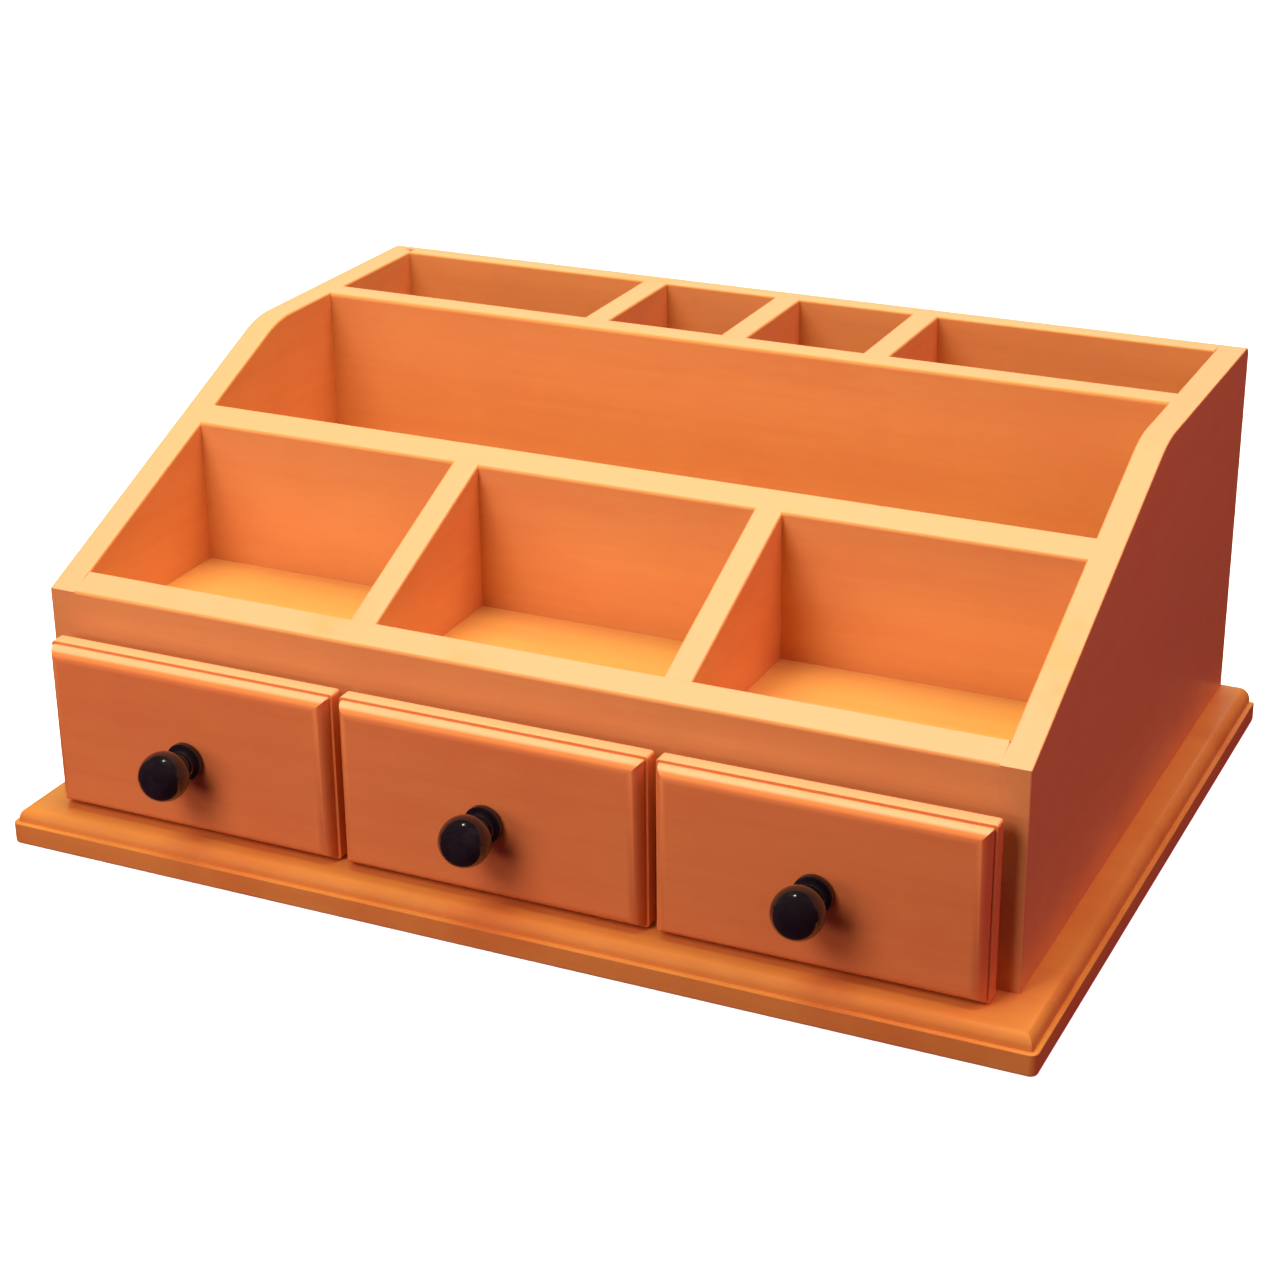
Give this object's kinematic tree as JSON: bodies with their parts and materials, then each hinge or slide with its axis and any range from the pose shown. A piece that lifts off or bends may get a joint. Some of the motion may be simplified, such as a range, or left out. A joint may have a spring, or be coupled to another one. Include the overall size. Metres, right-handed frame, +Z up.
{
  "type": "desk chest of drawers",
  "caption": "Low desktop chest of boards with sloping sides, open compartments above and small sliding drawers with moulded fronts and ball knobs below, on a moulded base board.",
  "frame": {"origin": "middle of the whole chest, knobs included, on the surface that it stands on", "axes": "+X towards the right-hand side seen from the front, +Y from the drawer fronts to the back panel, +Z up"},
  "size_m": [0.35, 0.2694, 0.1383],
  "materials": {
    "case_wood": "orange stained and varnished board, satin",
    "box_wood": "plain thin board, matt",
    "knob_black": "gloss black",
    "screw_zinc": "bright zinc"
  },
  "bodies": {
    "chest": {"base_board": "case_wood", "left_side": "case_wood", "right_side": "case_wood", "back_panel": "case_wood", "front_fascia": "case_wood", "shelf": "case_wood", "middle_partition": "case_wood", "rear_partition": "case_wood", "front_divider_1": "case_wood", "front_divider_2": "case_wood", "rear_divider_1": "case_wood", "rear_divider_2": "case_wood", "rear_divider_3": "case_wood", "drawer_partition_1": "case_wood", "drawer_partition_2": "case_wood", "base_screw_1": "screw_zinc", "base_screw_2": "screw_zinc", "base_screw_3": "screw_zinc", "base_screw_4": "screw_zinc", "base_screw_5": "screw_zinc", "base_screw_6": "screw_zinc", "base_screw_7": "screw_zinc", "base_screw_8": "screw_zinc", "base_screw_9": "screw_zinc", "base_screw_10": "screw_zinc", "base_screw_11": "screw_zinc", "base_screw_12": "screw_zinc"},
    "drawer_1": {"drawer_1_front": "case_wood", "drawer_1_left_side": "box_wood", "drawer_1_right_side": "box_wood", "drawer_1_back": "box_wood", "drawer_1_floor": "box_wood", "drawer_1_knob": "knob_black", "drawer_1_knob_screw": "screw_zinc"},
    "drawer_2": {"drawer_2_front": "case_wood", "drawer_2_left_side": "box_wood", "drawer_2_right_side": "box_wood", "drawer_2_back": "box_wood", "drawer_2_floor": "box_wood", "drawer_2_knob": "knob_black", "drawer_2_knob_screw": "screw_zinc"},
    "drawer_3": {"drawer_3_front": "case_wood", "drawer_3_left_side": "box_wood", "drawer_3_right_side": "box_wood", "drawer_3_back": "box_wood", "drawer_3_floor": "box_wood", "drawer_3_knob": "knob_black", "drawer_3_knob_screw": "screw_zinc"}
  },
  "joints": [
    {"name": "drawer_1_slide", "type": "slide", "parent": "chest", "child": "drawer_1", "axis": [0, -1, 0], "range_m": [0, 0.15]},
    {"name": "drawer_2_slide", "type": "slide", "parent": "chest", "child": "drawer_2", "axis": [0, -1, 0], "range_m": [0, 0.15]},
    {"name": "drawer_3_slide", "type": "slide", "parent": "chest", "child": "drawer_3", "axis": [0, -1, 0], "range_m": [0, 0.15]}
  ]
}
